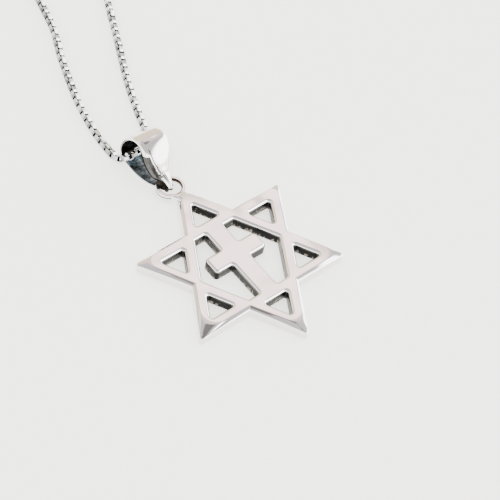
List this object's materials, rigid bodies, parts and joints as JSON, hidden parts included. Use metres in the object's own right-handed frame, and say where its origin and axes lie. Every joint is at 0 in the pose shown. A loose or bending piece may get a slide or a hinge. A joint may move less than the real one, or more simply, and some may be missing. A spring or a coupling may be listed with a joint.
{
  "type": "star pendant on a box chain",
  "caption": "Flat hexagram star pendant pierced around a cross, with a tapered folded bail on a whole fine box chain with a plain ring clasp, lying face up.",
  "frame": {"origin": "centre of the star on its flat back face, which lies on the surface", "axes": "+Z out of the star's front face, +Y from the star's centre to the bail, +X to the star's right seen from the front"},
  "size_m": [0.1181, 0.2024, 0.0064],
  "materials": {
    "star_silver": "polished cast silver, dark oxidised walls in the pierced openings",
    "bail_silver": "polished silver outside, dull blue-grey silver inside",
    "chain_silver": "bright silver box links with dark gaps"
  },
  "bodies": {
    "root": {"star": "star_silver", "bail": "bail_silver", "chain_left": "chain_silver", "chain_right": "chain_silver", "clasp": "chain_silver"}
  },
  "joints": []
}
